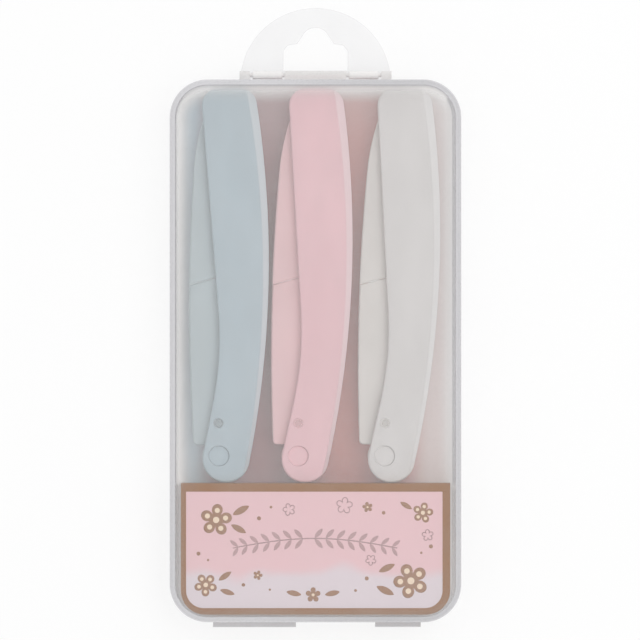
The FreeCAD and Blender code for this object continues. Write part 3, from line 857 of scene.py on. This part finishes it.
class RAZORSET_OT_razors(bpy.types.Operator):
    """Finish the handles, arms, blade holders, guards and pivots of the three razors"""

    bl_idname = "razor_set.razors"
    bl_label = "Finish Razors"

    def execute(self, context):
        look = context.scene.razor_plastics
        for shade in SHADES:
            body = np.array(getattr(look, shade))
            pale = lifted(body, look.arm_lift) * np.array(look.arm_tint)
            handle = self.plastic(look, shade, "handle", body)
            arm = self.plastic(look, shade, "arm", pale)
            pivot = self.plastic(look, shade, "pivot", body * (1.0 + look.pivot_lift))
            for part, material in (
                ("handle", handle),
                ("arm", arm),
                ("blade_holder", arm),
                ("skin_guard", arm),
                ("pivot_pin", pivot),
                ("pivot_cap", pivot),
            ):
                dress(f"{shade}_{part}", material)
        return {"FINISHED"}

    def plastic(self, look, razor, part, body):
        """Satin moulded plastic: flow clouds, a fine grain, rubbed edges with painted highlight, and a
        painted highlight on a handle's bevel.

        The walls of narrow gaps are painted lighter and given a painted glow, standing in for light that
        comes through the plastic.
        """
        made, shader, place = new_material(f"{razor}_{part}_plastic", **MOULDED)
        flow = place.noise(look.flow, detail=3.0, stretch=FLOW_STRETCH)
        grain = place.noise(look.grain, detail=2.0)
        # Edges lighter from rubbing and painted highlight, and a painted highlight along a handle's bevel.
        worn_and_lit = place.edge_mask(look.edge) * look.edge_wear_and_highlight
        if part == "handle":
            worn_and_lit = worn_and_lit.most(bevel(place, razor, look.bevel_end, look.bevel_top))
        dim, bright = body * (1.0 - look.flow_change), np.minimum(1.0, body * (1.0 + look.flow_change))
        shade = flow.ease(*FLOW_RANGE).between(dim, bright)
        shade = worn_and_lit.between(shade, lifted(body, look.wear_and_highlight))
        # Painted shade on the sunk lock pip.
        if part == "arm":
            shade = lock_pip(place, razor).between(shade, body * np.mean(body) ** look.pip)
        # Painted light and a painted glow that lift the shade in the narrow gaps.
        gap_light_mask = functools.reduce(Wire.most, [find(place, razor) for find in LIT_GAPS[part]])
        sockets = {
            "Base_Color": gap_light_mask.between(shade, lifted(body, look.gap_light)),
            "Emission_Color": gap_light_mask.between(BLACK, body * np.mean(body) ** 2 * look.gap_glow),
            "Emission_Strength": 1.0,
            "Roughness": look.rough + grain * look.rough_grain - worn_and_lit * look.worn_gloss,
            "Normal": grain.bump(look.grain_depth, place.soft_edge(look.edge)),
        }
        feed(shader, sockets)
        return made


class RAZORSET_OT_steel(bpy.types.Operator):
    """Finish the three blades"""

    bl_idname = "razor_set.steel"
    bl_label = "Finish Steel"

    def execute(self, context):
        steel = self.steel(context.scene.razor_steel)
        for shade in SHADES:
            dress(shade + "_blade", steel)
        return {"FINISHED"}

    def steel(self, look):
        """Ground steel: fine lines along the blade in its colour, gloss and height, and dull stains."""
        made, shader, place = new_material("blade_steel", Metallic=1.0)
        lines = place.noise(look.lines, detail=3.0, stretch=GRIND_STRETCH)
        stains = place.noise(look.stains, detail=2.0)
        sockets = {
            "Base_Color": lines.between(tuple(look.dark), tuple(look.bright)),
            "Roughness": look.rough + lines * look.rough_lines + stains * look.rough_stains,
            "Normal": lines.bump(look.line_depth, place.soft_edge(look.edge)),
        }
        feed(shader, sockets)
        return made


class RAZORSET_OT_card(bpy.types.Operator):
    """Print the insert card and stamp its foil ornaments"""

    bl_idname = "razor_set.card"
    bl_label = "Print Card"

    def execute(self, context):
        look = context.scene.razor_card
        dress("insert_card", self.board(look))
        self.stamp(look)
        return {"FINISHED"}

    def board(self, look):
        """Printed board: a bronze border, a pink field that fades to lilac clouds, and paper fibre.

        The field is where two rounded rectangles meet, one of which is taller and so rounds only its foot.
        """
        made, shader, place = new_material("card_print", **BOARD)
        along = place.axes()[1]
        low, high = CARD_LOW.copy(), CARD_HIGH.copy()
        low.x, high.x = low.x + look.left, high.x - look.right
        low.y, high.y = low.y + look.bottom, high.y - look.top
        square = inset(place, low, high, look.top_corner)
        rounded = inset(place, low, high + FIELD_SPARE, look.foot_corner)
        field = square.least(rounded).ease(-look.print_edge, look.print_edge)
        swell = place.noise(look.cloud_size, detail=2.0, stretch=CLOUD_STRETCH)
        level = CARD_LOW.y + look.cloud_level + (swell - 0.5) * look.cloud_swell
        pale = 1.0 - (along - level).ease(*CLOUD_EDGE)
        fibre = place.noise(look.fibre, detail=3.0)
        shade = pale.between(tuple(look.field), tuple(look.cloud))
        shade = ((fibre - 0.5) * look.fibre_show).most(0.0).between(shade, tuple(look.fibre_tint))
        ink = (fibre * look.gleam_show).between(tuple(look.bronze), tuple(look.gleam))
        border = 1.0 - field
        sockets = {
            "Base_Color": field.between(ink, shade),
            "Roughness": look.rough + fibre * look.rough_fibre - border * look.border_gloss,
            "Metallic": border * look.border_sheen,
            "Normal": fibre.bump(look.fibre_depth),
        }
        feed(shader, sockets)
        return made

    def ink(self, look, name, shade, sheen):
        """Stamped foil or ink: fine pressing marks in its colour, gloss and height."""
        made, shader, place = new_material(name)
        marks = place.noise(look.marks, detail=3.0)
        sockets = {
            "Base_Color": marks.between(tuple(shade), lifted(shade, look.mark_lift)),
            "Metallic": sheen + marks * (sheen / 2.0),
            "Roughness": look.mark_rough + marks * look.mark_grain,
            "Normal": marks.bump(look.mark_depth),
        }
        feed(shader, sockets)
        return made

    def stamp(self, look):
        """Blossoms, leaves, beads and a garland over the card, each kind one piece."""
        bronze = self.ink(look, "bronze_foil", look.bronze, sheen=0.3)
        mauve = self.ink(look, "mauve_ink", look.mauve, sheen=0.1)
        cream = self.ink(look, "cream_foil", look.cream, sheen=0.15)
        corner = np.array([CARD_LOW.x, CARD_LOW.y]) / MM
        lift, rise = CARD_HIGH.z / MM + STAMP_LIFT, STAMP_RISE
        flower = blossom_outline(PETALS, PETAL_WAIST)
        leaf = leaf_outline(LEAF_WIDTH)
        bead = blossom_outline(2, 1.0)
        stem, sprays = self.garland()
        hearts = [(x, y, HEART_SIZE * size) for x, y, size, _ in BLOSSOMS]
        for x, y, size, turn in BLOSSOMS[:DOTTED_BLOSSOMS]:
            for angle in turn + np.arange(PETALS) * 2.0 * np.pi / PETALS:
                reach = DOT_REACH * size
                hearts.append((x + reach * math.cos(angle), y + reach * math.sin(angle), DOT_SIZE * size))
        stamps = (
            ("card_blossoms", bronze, lift, [spun(flower, row[:2], *row[2:]) for row in BLOSSOMS]),
            ("card_leaves", bronze, lift, [spun(leaf, row[:2], *row[2:]) for row in LEAVES]),
            ("card_beads", bronze, lift, [spun(bead, row[:2], row[2], 0.0) for row in BEADS]),
            ("card_hearts", cream, lift + rise, [spun(bead, row[:2], row[2], 0.0) for row in hearts]),
            ("card_garland", mauve, lift, [spun(leaf, row[:2], *row[2:]) for row in sprays]),
        )
        for name, ink, level, outlines in stamps:
            skins = [stamped_skin(outline + corner, level, rise) * MM for outline in outlines]
            piece(name, skin_mesh(name, skins), ink, "case")
        loops = [spun(flower, row[:2], *row[2:]) + corner for row in RINGS]
        skins = [ribbon_skin(path, RING_WIDTH, lift, rise, True) * MM for path in loops]
        piece("card_rings", skin_mesh("card_rings", skins, looped=True), mauve, "case")
        skins = [ribbon_skin(stem + corner, STEM_WIDTH, lift, rise, False) * MM]
        piece("card_stem", skin_mesh("card_stem", skins), mauve, "case")

    def garland(self):
        """A shallow sine arch with pairs of leaves: its stem's points, and its leaves' places and turns.

        The leaves point away from the middle, and are largest there.
        """
        way = np.linspace(0.0, 1.0, GARLAND_POINTS)
        across = GARLAND_START[0] + GARLAND_SPAN * way
        along = GARLAND_START[1] + GARLAND_ARCH * np.sin(np.pi * way)
        stem = np.stack([across, along], axis=-1)
        last = GARLAND_POINTS - 1 - GARLAND_END
        picks = np.linspace(GARLAND_END, last, GARLAND_PAIRS).astype(int)
        slope = np.arctan2(np.gradient(along), np.gradient(across))[picks]
        sprays = []
        for number, (place, lean) in enumerate(zip(stem[picks], slope)):
            to_right = number >= GARLAND_PAIRS // 2
            for side in (1.0, -1.0):
                spread = side * GARLAND_LEAN
                turn = lean + spread if to_right else lean - spread + math.pi
                reach = GARLAND_LEAF + GARLAND_SWELL * math.sin(math.pi * number / (GARLAND_PAIRS - 1))
                middle = place + GARLAND_REACH * reach * np.array([math.cos(turn), math.sin(turn)])
                sprays.append((*middle, reach, turn))
        return stem, sprays


class RAZORSET_OT_stage(bpy.types.Operator):
    """Set the floor, the soft light and the camera above the set"""

    bl_idname = "razor_set.stage"
    bl_label = "Set Stage"

    def execute(self, context):
        look = context.scene.razor_stage
        self.floor(look)
        self.light(context.scene, look)
        self.camera(context.scene, look)
        context.scene.view_settings.view_transform = "Standard"
        return {"FINISHED"}

    def floor(self, look):
        """A flat sheet: x and y over a square grid, all at one height just below the case's back."""
        made, shader, place = new_material("studio_floor", Roughness=0.9, Specular_IOR_Level=0.1)
        specks = place.noise(look.speck_size, detail=2.0)
        feed(shader, {"Base_Color": specks.between(tuple(look.floor), tuple(look.speck))})
        tree = place.tree
        white = place.node("ShaderNodeEmission", None, {"Color": WHITE, "Strength": 1.0})
        inputs = {0: seen_plainly(tree) * look.glow, 1: Wire(tree, shader.outputs[0]), 2: white}
        mixed = place.node("ShaderNodeMixShader", None, inputs)
        tree.links.new(mixed.socket, tree.nodes["Material Output"].inputs["Surface"])
        steps = np.linspace(-FLOOR_REACH, FLOOR_REACH, FLOOR_STEPS)
        across, along = np.meshgrid(steps, steps)
        height = np.full_like(across, CAD_BOX[0].z - FLOOR_GAP)
        points = np.stack([across, along, height], axis=-1).reshape(-1, 3)
        number = np.arange(len(points)).reshape(across.shape)
        faces = np.stack([number[:-1, :-1], number[:-1, 1:], number[1:, 1:], number[1:, :-1]], axis=-1)
        mesh = bpy.data.meshes.new("studio_floor")
        mesh.from_pydata(points.tolist(), [], faces.reshape(-1, 4).tolist())
        mesh.materials.append(made)
        sheet = bpy.data.objects.new("studio_floor", mesh)
        bpy.context.scene.collection.objects.link(sheet)

    def light(self, scene, look):
        """A pale room all round and one large soft lamp above, to the right."""
        world = bpy.data.worlds.new("studio")
        world.use_nodes = True
        tree = world.node_tree
        back = tree.nodes["Background"]
        feed(back, {"Color": WHITE, "Strength": look.fill + seen_plainly(tree) * (1.0 - look.fill)})
        scene.world = world
        lamp = bpy.data.lights.new("soft_key", "AREA")
        lamp.shape = "DISK"
        lamp.size = LAMP_SIZE
        lamp.energy = look.key
        holder = bpy.data.objects.new("soft_key", lamp)
        holder.location = LAMP_PLACE
        holder.rotation_mode = "QUATERNION"
        holder.rotation_quaternion = (-holder.location).to_track_quat("-Z", "Y")
        scene.collection.objects.link(holder)

    def camera(self, scene, look):
        """A long lens straight above, up along the hang tab, centred as the picture is."""
        lens = bpy.data.cameras.new("above")
        lens.sensor_width = SENSOR
        lens.lens = SENSOR * look.distance / look.frame_width
        lens.clip_start, lens.clip_end = CLIP
        holder = bpy.data.objects.new("above", lens)
        holder.location = (*VIEW_CENTRE, look.distance + VIEW_LEVEL)
        scene.collection.objects.link(holder)
        scene.camera = holder


class RAZORSET_PT_panel(bpy.types.Panel):
    """Lists the steps that finish the set and their settings"""

    bl_idname = "RAZORSET_PT_panel"
    bl_label = "Razor Set"
    bl_space_type = "VIEW_3D"
    bl_region_type = "UI"
    bl_category = "Razor Set"

    def draw(self, context):
        for step in STEPS:
            self.layout.operator(step.bl_idname)
        for key, group in GROUPS.items():
            box = self.layout.box()
            for setting in group.__annotations__:
                box.prop(getattr(context.scene, key), setting)


GROUPS = {
    "razor_case": RazorSetCase,
    "razor_plastics": RazorSetPlastics,
    "razor_steel": RazorSetSteel,
    "razor_card": RazorSetCard,
    "razor_stage": RazorSetStage,
}
STEPS = (
    RAZORSET_OT_case,
    RAZORSET_OT_razors,
    RAZORSET_OT_steel,
    RAZORSET_OT_card,
    RAZORSET_OT_stage,
)
CLASSES = (*GROUPS.values(), *STEPS, RAZORSET_PT_panel)


def register():
    """Registers the classes and hangs the settings on the scene."""
    for made in CLASSES:
        bpy.utils.register_class(made)
    for key, group in GROUPS.items():
        setattr(bpy.types.Scene, key, bpy.props.PointerProperty(type=group))


def unregister():
    """Takes the settings off the scene and the classes out again."""
    for key in GROUPS:
        delattr(bpy.types.Scene, key)
    for made in reversed(CLASSES):
        bpy.utils.unregister_class(made)


def main():
    """Finishes the set step by step."""
    register()
    bpy.ops.razor_set.case()
    bpy.ops.razor_set.razors()
    bpy.ops.razor_set.steel()
    bpy.ops.razor_set.card()
    bpy.ops.razor_set.stage()


if __name__ == "__main__":
    main()
